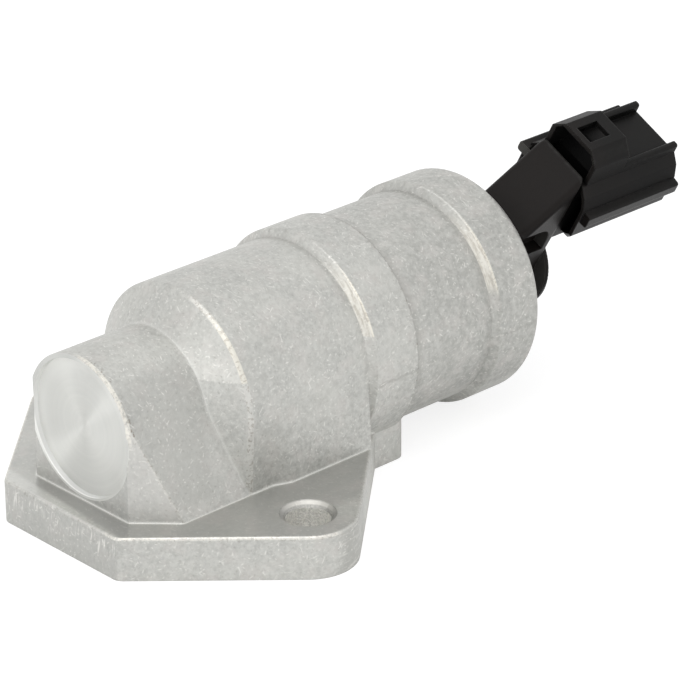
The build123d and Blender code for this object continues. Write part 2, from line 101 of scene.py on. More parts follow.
# %% Wires
class Wire:
    """One output socket of a shader node, which can be used as a number in sums."""

    def __init__(self, finish, socket):
        self.finish = finish
        self.socket = socket

    def __getitem__(self, name):
        return Wire(self.finish, self.socket.node.outputs[name])

    def __add__(self, other):
        return self.finish.maths("ADD", self, other)

    def __radd__(self, other):
        return self.finish.maths("ADD", other, self)

    def __sub__(self, other):
        return self.finish.maths("SUBTRACT", self, other)

    def __rsub__(self, other):
        return self.finish.maths("SUBTRACT", other, self)

    def __mul__(self, other):
        return self.finish.maths("MULTIPLY", self, other)

    def __rmul__(self, other):
        return self.finish.maths("MULTIPLY", other, self)

    def __truediv__(self, other):
        return self.finish.maths("DIVIDE", self, other)

    def __rtruediv__(self, other):
        return self.finish.maths("DIVIDE", other, self)

    def __pow__(self, other):
        return self.finish.maths("POWER", self, other)

    def __rpow__(self, other):
        return self.finish.maths("POWER", other, self)

    def __abs__(self):
        return self.finish.maths("ABSOLUTE", self)

    def most(self, other):
        return self.finish.maths("MAXIMUM", self, other)

    def least(self, other):
        return self.finish.maths("MINIMUM", self, other)

    def rise(self, low, high):
        """0 before low, 1 after high and a smooth step between them; low may be the larger one."""
        return self.finish.node("ShaderNodeMapRange", {"interpolation_type": "SMOOTHSTEP"},
                                {"Value": self, "From Min": low, "From Max": high})

    def within(self, low, high, soft):
        """1 between low and high, with soft ends."""
        return self.rise(low - soft, low + soft) * self.rise(high + soft, high - soft)


print("a wire has", len([name for name in vars(Wire) if name.endswith("__")]), "special methods")

# %% [markdown]
# A Finish holds one node tree. Its node method adds any kind of node: the settings first, since they
# can change which sockets there are, and then the values or links of the sockets. The other methods
# are short names for the nodes that this lesson uses often.


# %% Finishes
class Finish:
    """The node tree of a material or of the world."""

    def __init__(self, owner):
        owner.use_nodes = True
        self.owner = owner
        self.tree = owner.node_tree
        self.tree.nodes.clear()

    def node(self, kind, settings=(), sockets=(), output=0):
        """Adds a node: its settings first, then the values or links of its sockets."""
        made = self.tree.nodes.new(kind)
        for name, value in dict(settings).items():
            setattr(made, name, value)
        by_id = {socket.identifier: socket for socket in made.inputs}
        for key, value in dict(sockets).items():
            socket = by_id[key] if key in by_id else made.inputs[key]
            if isinstance(value, Wire):
                self.tree.links.new(value.socket, socket)
            else:
                socket.default_value = value
        return Wire(self, made.outputs[output]) if len(made.outputs) else None

    def maths(self, operation, *values):
        """A Math node, or a Vector Math node where one of the values is a vector."""
        vectors = [isinstance(value, Wire) and value.socket.type == "VECTOR" for value in values]
        kind = "ShaderNodeVectorMath" if any(vectors) else "ShaderNodeMath"
        return self.node(kind, {"operation": operation}, dict(enumerate(values)))

    def vector(self, operation, *values):
        """A Vector Math node, also for colours that are used as vectors."""
        return self.node("ShaderNodeVectorMath", {"operation": operation}, dict(enumerate(values)))

    def join(self, x=0.0, y=0.0, z=0.0):
        """A vector from its three parts."""
        return self.node("ShaderNodeCombineXYZ", {}, {"X": x, "Y": y, "Z": z})

    def scaled(self, vector, scale):
        """A vector made longer or shorter."""
        return self.node("ShaderNodeVectorMath", {"operation": "SCALE"}, {0: vector, "Scale": scale})

    def along(self, vector, other):
        """How far one vector reaches along another."""
        return self.vector("DOT_PRODUCT", vector, other)["Value"]

    def length(self, *parts):
        """Length of a vector given by its parts."""
        return sum(part * part for part in parts) ** 0.5

    def mix(self, factor, first, second):
        """Colour that goes from first to second."""
        return self.node("ShaderNodeMix", {"data_type": "RGBA"},
                         {"Factor_Float": factor, "A_Color": first, "B_Color": second}, 2)

    def noise(self, vector, scale, detail=2.0, rough=0.5):
        """Cloudy grey noise about 0.5."""
        return self.node("ShaderNodeTexNoise", {},
                         {"Vector": vector, "Scale": scale, "Detail": detail, "Roughness": rough})

    def shader(self, normal, **sockets):
        """A Principled shader; underscores in the names stand for spaces."""
        values = {name.replace("_", " "): value for name, value in sockets.items()}
        return self.node("ShaderNodeBsdfPrincipled", {}, {"Normal": normal, **values})

    def blend(self, factor, first, second):
        """One shader over another."""
        return self.node("ShaderNodeMixShader", {}, {0: factor, 1: first, 2: second})

    def bump(self, height, depth, **normal):
        """Normal of a surface raised by height, where a height of 1 is depth metres."""
        return self.node("ShaderNodeBump", {}, {"Height": height, "Distance": depth, **normal})

    def done(self, shader):
        """Puts the shader on the output and returns the material or the world."""
        kind = "World" if isinstance(self.owner, bpy.types.World) else "Material"
        self.node("ShaderNodeOutput" + kind, {}, {"Surface": shader})
        print("finish", self.owner.name, "has", len(self.tree.nodes), "nodes")
        return self.owner


def new_finish(name):
    """An empty finish in a new material."""
    return Finish(bpy.data.materials.new(name))


print("a finish has", len([name for name in vars(Finish) if not name.startswith("_")]), "methods")

# %% [markdown]
# Most finishes start from the same measures: where a point is, in millimetres, and how far it is from
# the barrel's axis. Object coordinates move with a piece, so a pattern stays on a valve that slides.
# A soft edge is a Bevel node, which bends the normal near an edge, as a small real rounding would.
# An outer edge is found by an Ambient Occlusion node that looks inwards: just inside a corner it soon
# meets the other face, and inside a flat face it meets nothing. Looking outwards, it finds creases.

# %% Shared measures
AXIS_MM = 18.65
FINE_DEPTH = 0.00002


def place(f):
    """Point in mm as a vector, its x, y and z, and its distance from the barrel's axis."""
    metres = f.node("ShaderNodeTexCoord")["Object"]
    point = f.scaled(metres, MM)
    parts = f.node("ShaderNodeSeparateXYZ", {}, {0: point})
    x, y, z = (parts[axis] for axis in "XYZ")
    return point, x, y, z, f.length(y, z - AXIS_MM)


def soft_edge(f, radius_mm):
    """Normal with its edges rounded off."""
    return f.node("ShaderNodeBevel", {"samples": 4}, {"Radius": radius_mm / MM})


def closeness(f, reach_mm, inside):
    """How much of the view from a point meets the piece itself within a short reach."""
    settings = {"inside": inside, "only_local": True, "samples": 6}
    return 1 - f.node("ShaderNodeAmbientOcclusion", settings, {"Distance": reach_mm / MM}, "AO")


def outer_edge(f, reach_mm):
    """High at an outer corner and 0 on a flat face."""
    return closeness(f, reach_mm, inside=True)


def crease(f, reach_mm):
    """High in an inner corner and 0 on a flat face."""
    return closeness(f, reach_mm, inside=False)


print("axis", AXIS_MM, "mm above the mounting face")

# %% [markdown]
# The body is a die casting in an aluminium alloy. It could be split into one material for each place,
# but its skin runs on from place to place, so it is one material with masks: a mask is a number from
# 0 to 1 that says how much a point belongs to a place. Millimetres make the masks read like a drawing.
# The flange comes first. Its top is smoother than the rest and mirrors the nose as a darker strip, a
# painted reflection placed where the camera would see it. The stones that dulled the casting did reach
# the top's front edge and the corner of its ear. The bolt hole has a rough bore below a chamfer. The
# chamfer is painted lighter on its far side, which faces the lamps, and darker on the near side, as
# painted light and shade, and a ring on it, a tool mark, is painted brighter as a painted highlight.

# %% Places on the flange
FLANGE_TOP_MM = 7.0
FLANGE_FRONT_MM = -25.6
NOSE_FRONT_MM = -21.1
NOSE_HALF_MM = 10.6
MIRROR_SLANT = 1.075
STRIP_MM = 1.7
STRIP_SLANT = 0.07
BOLT_HALF_MM = 26.35
BOLT_MOUTH_MM = 4.3
BOLT_RING_MM = (3.75, 4.2)
FAR_WALL = (-0.68, -0.73, 0)


def casting_places(f):
    """Measures of a point on the casting, with its masks on the flange."""
    s = SimpleNamespace()
    s.point, s.x, s.y, s.z, s.radius = place(f)
    s.facing = f.node("ShaderNodeNewGeometry")["Normal"]
    s.upward = f.along(s.facing, (0, 0, 1))
    s.forward = f.along(s.facing, (-1, 0, 0))
    s.above = s.z.rise(FLANGE_TOP_MM - 0.2, FLANGE_TOP_MM + 0.3)
    s.flange_top = s.z.within(FLANGE_TOP_MM - 0.2, FLANGE_TOP_MM + 0.2, 0.1) * s.upward.rise(0.8, 0.97)
    strip_back = FLANGE_FRONT_MM + STRIP_MM
    front_strip = (s.x - s.y * STRIP_SLANT).rise(strip_back + 0.5, strip_back - 0.5)
    s.tumbled_top = s.flange_top * front_strip.most(s.x.rise(0, 5) * s.y.rise(-26, -29))
    slanted = abs(s.y - (s.x - NOSE_FRONT_MM) * MIRROR_SLANT)
    in_front = s.x.rise(NOSE_FRONT_MM + 0.5, NOSE_FRONT_MM + 0.2)
    beside = slanted.rise(NOSE_HALF_MM + 0.2, NOSE_HALF_MM - 0.2)
    s.nose_mirror = s.flange_top * (1 - s.tumbled_top) * in_front * beside
    s.front_side = s.forward.rise(0.85, 0.95) * s.x.rise(FLANGE_FRONT_MM + 0.6, FLANGE_FRONT_MM + 0.2)
    s.ear_corner = s.x.rise(-2, 1) * s.y.rise(-24, -30) * s.z.rise(FLANGE_TOP_MM, FLANGE_TOP_MM - 0.4)
    near_top = s.z.within(FLANGE_TOP_MM - 0.7, FLANGE_TOP_MM + 0.05, 0.05)
    s.lip = s.upward.within(0.2, 0.92, 0.05) * near_top
    s.from_bolt = f.length(s.x, abs(s.y) - BOLT_HALF_MM)
    mouth = s.from_bolt.rise(BOLT_MOUTH_MM + 0.05, BOLT_MOUTH_MM - 0.05) * s.upward.rise(0.95, 0.85)
    s.bore = mouth * s.upward.rise(0.4, 0.3)
    s.chamfer = mouth * s.upward.rise(0.3, 0.5)
    # The tool ring is a real tool mark, painted brighter as a painted highlight.
    s.tool_ring = s.from_bolt.within(*BOLT_RING_MM, 0.1)
    # Painted light and shade on the chamfer: lighter on the side facing the lamps, darker on the other.
    s.far_wall = f.along(s.facing, FAR_WALL).rise(0.0, 0.7)
    return s


print("bolt holes", 2 * BOLT_HALF_MM, "mm apart in a flange", FLANGE_TOP_MM, "mm thick")

# %% [markdown]
# The nose is the arched snout in front. Its flanks lean out from the arch to the flange, and two upright
# facets cut its front corners. The facet meets the flank along a sloping edge, and a point is near that
# edge when it is near both planes at once, so the larger of the two distances makes the mask.

# %% Places on the nose
NOSE_RADIUS_MM = 11.6
FLANK_LEAN = math.radians(19.4)
FACET_REACH_MM = 31.7


def nose_places(f, s):
    """Masks for the nose's front, its facets, its flanks and the edge between these two."""
    side = abs(s.y)
    to_flank = side * math.cos(FLANK_LEAN) + (s.z - AXIS_MM) * math.sin(FLANK_LEAN) - NOSE_RADIUS_MM
    to_facet = (side - s.x - FACET_REACH_MM) * math.sqrt(0.5)
    s.nose_corner = abs(to_flank).most(abs(to_facet)).rise(0.4, 0.1) * s.above
    s.nose_front = s.forward.rise(0.9, 0.97) * s.x.rise(NOSE_FRONT_MM + 0.2, NOSE_FRONT_MM + 0.05)
    s.nose_facet = s.forward.within(0.6, 0.8, 0.05) * s.x.rise(-14, -15) * s.above
    on_flank = s.forward.rise(0.5, 0.2) * s.upward.rise(0.95, 0.6)
    s.nose_side = s.x.rise(-7, -9) * s.z.rise(8, 10) * on_flank


print("nose front at x", NOSE_FRONT_MM, "mm, flanks lean", round(math.degrees(FLANK_LEAN), 1), "degrees")

# %% [markdown]
# Behind the nose a cone, here called the shoulder, widens to the barrel, and two more ramps step up to
# the band and the collar. On the side towards the lamp, above the line where the two halves of the
# mould met, the ramps carry a painted highlight: they are painted pale, with streaks along them, and
# their crests carry a paler painted highlight with yellow-brown dirt in it. The streaks are noise,
# squeezed across the ramp and stretched along it. The creases before and behind a step are darkened
# with painted shade.

# %% Places on the barrel
MOULD_LINE_MM = 25.0
FILED_TOP_MM = (35.6, 31.0)
SEAM_MM = 17.3
BAND_FRONT_MM = 21.3
BAND_BACK_MM = 30.6
COLLAR_MM = 47.5


def step_places(f, s):
    """Masks for the shoulder, the steps, the ramps' painted highlight and streaks, and painted shade."""
    behind_nose = s.x.rise(-10, -9)
    s.shoulder = s.x.rise(0, -1)
    s.collar = s.x.rise(COLLAR_MM - 5, COLLAR_MM - 4)
    s.ramp = s.forward.rise(0.3, 0.45) * behind_nose
    s.crest = s.forward.within(0.075, 0.705, 0.045) * behind_nose * s.above
    sharp_end = s.z.rise(MOULD_LINE_MM - 0.2, MOULD_LINE_MM + 0.2)
    soft_end = s.z.rise(MOULD_LINE_MM - 1.8, MOULD_LINE_MM + 0.6)
    # Painted highlight on the ramps, above the mould line and on the side towards the lamp.
    filed = sharp_end + (soft_end - sharp_end) * s.collar
    s.filed = filed * s.z.rise(*FILED_TOP_MM) * s.y.rise(1, -3)
    arc = f.maths("ARCTAN2", s.y, s.z - AXIS_MM) * AXIS_MM
    s.file_marks = f.noise(f.join(s.x * 3.2, arc * 0.3), 1.0, 3.0, 0.6)
    wander = (f.noise(s.point, 0.4) - 0.5) * 1.6
    on_band = s.x.within(BAND_FRONT_MM + 1, BAND_BACK_MM, 0.2)
    on_collar = s.x.rise(COLLAR_MM + 0.8, COLLAR_MM + 1.2)
    s.seam = abs(s.z - SEAM_MM + wander).rise(0.4, 0.1) * s.y.rise(-10, -14) * (on_band + on_collar)
    before_collar = s.x.within(COLLAR_MM - 1, COLLAR_MM + 0.2, 0.4)
    before_band = s.x.within(BAND_FRONT_MM - 0.9, BAND_FRONT_MM + 0.2, 0.4)
    past_band = s.x.rise(BAND_BACK_MM - 0.3, BAND_BACK_MM)
    behind_band = past_band * s.x.rise(BAND_BACK_MM + 3, BAND_BACK_MM + 0.2)
    s.step_shade = behind_band * s.above + (before_collar + before_band) * s.z.rise(27, 32) * 0.5


print("steps at x", BAND_FRONT_MM, BAND_BACK_MM, COLLAR_MM, "mm, mould line at z", MOULD_LINE_MM, "mm")

# %% [markdown]
# After casting, the body was tumbled with stones. That leaves a dull skin with fine nicks all over,
# which catch the light. A nick is a short dash that lies in the surface: Voronoi cells give each one a
# middle and a random direction, and the offset from the middle is measured along and across it. Each
# row of sizes gives the width of a cell, half the length and half the width of a nick, and then how
# rare such nicks are. The smallest kind also makes the dark dents, in cells that got no bright nick.

# %% Nicks
NICK_SIZES_MM = ((2.6, 0.85, 0.15, 0.5), (1.4, 0.5, 0.17, 0.4), (0.8, 0.26, 0.17, 0.35))


def nicks(f, s, cell_mm, half_length, half_width):
    """Short dashes, one to a cell, and a random number for each cell."""
    cells = f.node("ShaderNodeTexVoronoi", {}, {"Vector": s.point, "Scale": 1 / cell_mm})
    aim = f.vector("SUBTRACT", cells["Color"], (0.5, 0.5, 0.5))
    across = f.vector("NORMALIZE", f.vector("CROSS_PRODUCT", aim, s.facing))
    run = f.vector("CROSS_PRODUCT", across, s.facing)
    offset = s.point - cells["Position"]
    narrow = abs(f.along(offset, across)).rise(half_width, 0.0)
    short = abs(f.along(offset, run)).rise(half_length, half_length * 0.3)
    chance = f.node("ShaderNodeSeparateColor", {}, {0: cells["Color"]})["Green"]
    return narrow * short, chance


def tumbled_places(f, s):
    """Bright nicks, dark dents and the cloudy patches that tumbling leaves."""
    s.tumbled = 1 - s.flange_top * (1 - s.tumbled_top) * 0.6
    s.clouds = f.noise(s.point, 0.12, 3.0)
    s.mottle = f.noise(s.point, 1.1, 4.0, 0.7)
    s.grain = f.noise(s.point, 2.4, 3.0, 0.65)
    s.pits = f.noise(s.point, 3.4, 2.0, 0.6).rise(0.42, 0.58)
    s.stains = f.noise(s.point, 0.3, 3.0).rise(0.48, 0.66)
    patchy = f.noise(s.point, 0.35, 2.0).rise(0.36, 0.6) * 0.6 + 0.4
    kinds = [(*nicks(f, s, *size[:3]), size[3]) for size in NICK_SIZES_MM]
    total = sum(dashes * chance.rise(rarity, 1.0) for dashes, chance, rarity in kinds)
    s.marks = (total * patchy).least(1.0) * s.tumbled
    small_dashes, small_chance, _ = kinds[-1]
    s.dents = small_dashes * small_chance.rise(0.3, 0.1) * s.tumbled


print("nicks of", [2 * size[1] for size in NICK_SIZES_MM], "mm")

# %% [markdown]
# Stones and hands rub the outer edges until they are bright and a little warm, with brown specks where
# dirt stays; these bright edges are partly that wear and partly painted highlights. Noise breaks the
# edge mask up, because a clean bright outline looks drawn. The rim of the nose is rubbed bright, partly
# as a painted highlight, only at its upper right, with smudges behind it, and the flange's lip only
# along the oblique side of its ear. The crests of the ramps carry painted highlights with dirt in them.

# %% Worn edges
RIM_LINE_MM = NOSE_FRONT_MM + 0.6


def worn_places(f, s):
    """Rubbed edges that are partly painted highlights, brown specks, and painted highlights on the
    crests.
    """
    rubbing = f.noise(s.point, 1.8, 3.0, 0.7).rise(0.22, 0.6)
    edge = outer_edge(f, 1.0)
    on_rim = s.x.rise(NOSE_FRONT_MM + 2.1, NOSE_FRONT_MM + 1.5) * s.above
    clean_rim = on_rim * (1 - s.y.rise(1.5, -1.5) * s.z.rise(18.5, 21))
    rim_back = on_rim * s.x.rise(RIM_LINE_MM - 0.15, RIM_LINE_MM + 0.1)
    band_back = s.x.within(BAND_BACK_MM - 1.6, BAND_BACK_MM + 0.9, 0.5)
    off_ground = s.z.rise(1.2, 2.0)
    # Rubbed wear and painted highlight along the outer edges.
    rubbed = edge.rise(0.26, 0.48) * (1 - clean_rim.most(rim_back)) * (1 - band_back) * off_ground
    rubbed_front = s.x.rise(FLANGE_FRONT_MM + 1.0, FLANGE_FRONT_MM + 0.4) * s.y.rise(-12, -9)
    lip = s.lip * s.from_bolt.rise(4.4, 4.6) * (1 - rubbed_front * 0.9) * s.x.rise(0.5, -1.5)
    s.worn = (rubbed * (1 - s.ear_corner) + lip * 0.6 + s.nose_corner * 0.12).least(1.0) * rubbing
    dirty = f.noise(s.point, 2.1, 2.0, 0.6)
    dirty_edge = edge.rise(0.1, 0.3) * (1 - clean_rim) * (1 - (on_rim - rim_back) * 0.7) * off_ground
    smudged_rim = rim_back * (1 - clean_rim) * s.x.rise(NOSE_FRONT_MM + 1.5, NOSE_FRONT_MM + 0.9)
    smudge = smudged_rim * 0.6 + s.nose_corner * 0.5
    s.specks = dirty_edge.most(smudge) * dirty.rise(0.54, 0.66)
    s.gold = s.crest * s.filed
    s.bare_crest = s.crest * s.shoulder * (1 - s.filed) * s.y.rise(-2, -6)
    s.dirt = dirty.rise(0.5, 0.62)


print("rubbed rim up to x", round(RIM_LINE_MM, 2), "mm")

# %% [markdown]
# Two more marks belong to the flange: upright strokes on its front side and level ones round its ear,
# each made of noise that is stretched one way. Inner corners go both ways: the creases above the flange
# and in front of the shoulder get a painted highlight, as a small rounding there would catch the light,
# and those of the steps are darkened with painted shade.

# %% Scratches and creases


def crease_places(f, s):
    """Scratches on the flange, painted highlights in some inner corners and painted shade in others."""
    upright = f.noise(f.join(s.y * 2.2 + s.z * 0.3, s.z * 0.3), 1.0, 2.0).rise(0.52, 0.66)
    level = f.noise(f.join((s.x - s.y) * 0.35, s.z * 2.2), 1.0, 2.0).rise(0.5, 0.68)
    patches = f.noise(s.point, 0.3, 2.0).rise(0.42, 0.6)
    strokes = upright * s.front_side * s.z.within(2.6, 6.0, 0.8) * patches
    s.scratches = strokes + level * s.ear_corner * 0.6
    inner = crease(f, 0.6)
    # Painted highlight in the creases above the flange and before the shoulder; painted shade at the
    # steps.
    s.at_flange = inner.rise(0.16, 0.36) * s.z.rise(FLANGE_TOP_MM + 2.5, FLANGE_TOP_MM + 1.0)
    root = s.z.rise(FLANGE_TOP_MM + 1.0, FLANGE_TOP_MM + 2.5) * s.x.rise(1, 0) * s.x.rise(-12, -10)
    s.at_shoulder = inner.rise(0.07, 0.17) * root
    s.at_steps = inner.rise(0.16, 0.36) * s.x.rise(1, 2) * s.z.rise(24, 29)


print("flange crease at z", FLANGE_TOP_MM, "mm")

# %% [markdown]
# The end of the nose was faced on a lathe. The tool leaves rings finer than the eye can part, and they
# spread a highlight into the bright bow tie of a turned disc. An anisotropic shader could give it, but
# rings in the normal also hold in renderers without one: a sine of the radius tips the normal outwards
# and inwards. The wall round the disc and most of the rim in front of it take the same finish, which
# carries the faced end out to where it stops on the real part. The wall keeps some light off the disc,
# so painted light, a brighter colour near its far side, makes up for that, and its front edge gets a
# thin white line as a painted highlight.

# %% Turned end
TOOL_PITCH_MM = 0.045
RING_TILT = 0.7
FACE_MM = -20.0
FACE_RADIUS_MM = 10.9


def turned_end(f, s):
    """Shader of the faced end and the mask of where it is."""
    ring = f.maths("SINE", s.radius * (2 * math.pi / TOOL_PITCH_MM))
    wall = s.forward.rise(0.6, 0.3)
    outwards = f.join(0.0, s.y / s.radius, (s.z - AXIS_MM) / s.radius)
    tipped = s.facing + f.scaled(outwards, ring * (1 - wall) * RING_TILT) + f.join(wall * -0.8)
    lathe = f.noise(f.join(s.radius), 1.2, 3.0, 0.6)
    bright = f.mix(lathe.rise(0.3, 0.7), (0.72, 0.725, 0.695, 1), (0.755, 0.758, 0.727, 1))
    left = s.y.rise(-2, 2) * s.z.rise(14, 18)
    # Painted light near the wall's far side, where the wall keeps light off the disc.
    shaded = s.radius.rise(7, 11) * s.y.rise(-3, 5) * s.z.rise(8, 17)
    # Painted highlight: a thin white line along the wall's front edge.
    white_line = wall * s.x.rise(NOSE_FRONT_MM + 0.35, NOSE_FRONT_MM + 0.1) * s.z.rise(19, 15)
    bright = f.mix(shaded, bright, (0.92, 0.925, 0.89, 1))
    bright = f.mix(wall, bright, (0.69, 0.695, 0.67, 1))
    bright = f.mix(white_line, bright, (0.95, 0.95, 0.92, 1))
    bright = f.mix(s.nose_front * left, bright, (0.64, 0.645, 0.62, 1))
    turned = f.shader(f.vector("NORMALIZE", tipped), Base_Color=bright, Roughness=0.28, Metallic=0.85)
    inside = s.radius.rise(FACE_RADIUS_MM + 0.02, FACE_RADIUS_MM - 0.02)
    disc = s.x.rise(FACE_MM, FACE_MM - 0.05) * inside
    rim = s.nose_front * (s.radius - left * 0.5).rise(NOSE_RADIUS_MM - 0.3, NOSE_RADIUS_MM - 0.4)
    return turned, disc.most(rim)


print("faced end", 2 * FACE_RADIUS_MM, "mm across, rings", TOOL_PITCH_MM, "mm apart")

# %% [markdown]
# Now the body's finish is painted as a list of coats, from the widest to the smallest. Each coat is a
# mask, which may be weakened by a number, and a colour. A list is easier to read and to change than the
# same chain of Mix nodes written out one by one. The first coats are painted shade, which darkens the
# rear half and the lower part of the body above the flange, and the last ones fill the bolt holes.

# %% Cast aluminium
SKIN_DEPTH = 0.00006
PALE_CAST = (0.86, 0.85, 0.81, 1)
LIGHT_CAST = (0.7, 0.7, 0.67, 1)
DARK_CAST = (0.38, 0.38, 0.36, 1)
MIRRORED = (0.36, 0.355, 0.35, 1)
CREAM = (0.91, 0.88, 0.805, 1)
BROWN = (0.2, 0.16, 0.12, 1)
SHADE = (0.3, 0.295, 0.275, 1)


def cast_coats(f, s):
    """Masks and colours of the casting's skin, the lowest first."""
    filed_ramp = s.ramp * s.filed
    ramp_colour = f.mix(s.file_marks.rise(0.4, 0.62), (0.75, 0.73, 0.67, 1), (0.54, 0.51, 0.45, 1))
    crest_colour = f.mix(s.dirt * 0.5, (0.88, 0.85, 0.76, 1), (0.42, 0.36, 0.28, 1))
    # Painted shade and painted highlight: shaded and lit copies of the chamfer's colour.
    near_chamfer = f.mix(s.tool_ring, (0.24, 0.24, 0.225, 1), (0.36, 0.355, 0.34, 1))
    far_chamfer = f.mix(s.tool_ring, (0.36, 0.355, 0.335, 1), (0.66, 0.645, 0.605, 1))
    # Painted shade: the rear half is darkened, less near the top.
    rear = s.x.rise(24, 40) * s.z.rise(6, 9) * (1 - s.z.rise(30, 37) * 0.35)
    smooth_top = s.flange_top * (1 - s.tumbled_top) * s.y.rise(8, 2)
    # Painted shade: the lower part above the flange is darkened.
    low = s.z.rise(20, 10) * s.above * s.x.rise(-4, 0)
    return [
        (rear * 0.75, (0.4, 0.4, 0.378, 1)),
        (low * 0.55, DARK_CAST),
        (s.stains * 0.5, (0.57, 0.545, 0.52, 1)),
        (s.mottle.rise(0.32, 0.68) * (0.6 - rear * 0.1) * s.tumbled, (0.66, 0.66, 0.63, 1)),
        (s.grain.rise(0.4, 0.75) * (0.3 - rear * 0.2) * s.tumbled, LIGHT_CAST),
        (s.nose_side * 0.35, (0.42, 0.42, 0.398, 1)),
        (s.nose_front * 0.18, (0.4, 0.405, 0.4, 1)),
        (s.nose_facet * 0.3, (0.66, 0.645, 0.625, 1)),
        (s.nose_mirror * 0.4, MIRRORED),
        (smooth_top * (s.clouds.rise(0.35, 0.65) * 0.2 + 0.1), MIRRORED),
        (s.tumbled_top * s.y.rise(-8, 4) * 0.6, LIGHT_CAST),
        (s.front_side * 0.25, DARK_CAST),
        (s.ear_corner * 0.5, (0.36, 0.36, 0.34, 1)),
        (s.scratches * 0.6, PALE_CAST),
        # Painted highlight on the ramps, streaked; on the shoulder it is paler low down and painted
        # shade at the top.
        (filed_ramp * (1 - s.shoulder) * 0.85, ramp_colour),
        (filed_ramp * s.shoulder * s.z.rise(30, 25.5) * 0.24, (0.88, 0.865, 0.82, 1)),
        (filed_ramp * s.shoulder * s.z.rise(26, 30) * 0.14, (0.4, 0.4, 0.38, 1)),
        (s.step_shade * 0.45, SHADE),
        (s.seam * 0.3, SHADE),
        (s.dents * 0.2, (0.25, 0.24, 0.22, 1)),
        (s.marks * 0.53, PALE_CAST),
        # Painted highlights and painted shade in the inner corners.
        (s.at_flange * 0.8, (0.86, 0.86, 0.83, 1)),
        (s.at_shoulder * 0.5, (0.75, 0.75, 0.72, 1)),
        (s.at_steps * 0.45, SHADE),
        # Rubbed edges, partly painted highlights.
        (s.worn * 0.85, CREAM),
        # Painted highlights on the crests, with brown dirt in them.
        (s.gold * 0.65, crest_colour),
        (s.bare_crest * 0.3, PALE_CAST),
        (s.bare_crest * s.dirt * 0.35, BROWN),
        (s.specks * 0.6, BROWN),
        (s.bore * (s.pits * 0.52 + 0.48), (0.9, 0.89, 0.85, 1)),
        (s.chamfer * 0.85, f.mix(s.far_wall, near_chamfer, far_chamfer)),
        (s.chamfer * (1 - s.tool_ring) * s.pits * 0.4, (0.6, 0.59, 0.56, 1)),
    ]


def cast_aluminium():
    """The casting's finish, with the faced end of its nose."""
    f = new_finish("cast_aluminium")
    s = casting_places(f)
    for add_places in (nose_places, step_places, tumbled_places, worn_places, crease_places):
        add_places(f, s)
    skin = f.mix(s.clouds.rise(0.3, 0.7), (0.46, 0.462, 0.44, 1), (0.54, 0.54, 0.51, 1))
    for mask, colour in cast_coats(f, s):
        skin = f.mix(mask, skin, colour)
    roughness = 0.5 - s.marks * 0.1 - s.worn * 0.1 + (s.grain - 0.5) * 0.16 - s.flange_top * 0.12
    height = s.grain * 0.6 * s.tumbled + s.clouds * 0.4 - s.marks * 0.4 - s.dents * 0.4 + s.bore * s.pits
    rough = f.bump(height, SKIN_DEPTH, Normal=soft_edge(f, 0.22))
    cast = f.shader(rough, Base_Color=skin, Roughness=roughness, Metallic=0.82)
    turned, faced = turned_end(f, s)
    return f.done(f.blend(faced, cast, turned))


body_finish = cast_aluminium()

# %% [markdown]
# The connector is one moulding in black glass-filled nylon. Black plastic in a white room shows mostly
# what it reflects, so the base colour hardly matters and the strength of the gloss does. The mould was
# lightly textured and the gloss is low. Hollows and, in part, the near side wall are painted shade, a
# near black with little gloss, faces that look down at the paper are glossier, handling turns the outer
# edges a shade greyer, and the neck's back face is painted lighter as painted light.

# %% Black plastic
CLOCK = math.radians(28)
CONNECTOR_UP = (0, -math.sin(CLOCK), math.cos(CLOCK))
CONNECTOR_ACROSS = (0, math.cos(CLOCK), math.sin(CLOCK))
AXIS_POINT_MM = (0, 0, AXIS_MM)
NECK_BACK_MM = 69.0
TUNNEL_MM = (70.75, 78.85)
TUNNEL_HALF_MM = 3.7
TUNNEL_HEIGHT_MM = (20.85, 26.2)
SOOT = (0.003, 0.003, 0.003, 1)


def plastic_hollows(f, point, x, facing):
    """Masks of painted shade for hollows and the near side wall, and a mask for faces that look down."""
    height = f.along(point - AXIS_POINT_MM, CONNECTOR_UP)
    sideways = abs(f.along(point - AXIS_POINT_MM, CONNECTOR_ACROSS))
    between_walls = sideways.rise(TUNNEL_HALF_MM + 0.1, TUNNEL_HALF_MM - 0.1)
    tunnel = x.within(*TUNNEL_MM, 0.15) * between_walls * height.within(*TUNNEL_HEIGHT_MM, 0.1)
    # Painted shade in the hollows behind the neck and in the latch tunnel.
    hollow = (crease(f, 9.0).rise(0.32, 0.55) * x.rise(NECK_BACK_MM, NECK_BACK_MM + 1)).most(tunnel)
    # Painted shade on the near side wall, in part.
    near_side = f.along(facing, CONNECTOR_ACROSS).rise(-0.7, -0.95) * 0.45
    below = f.along(facing, (0, 0, -1)).rise(0.2, 0.6) * (1 - hollow) * height.rise(18.5, 17.0)
    return hollow.most(near_side), below


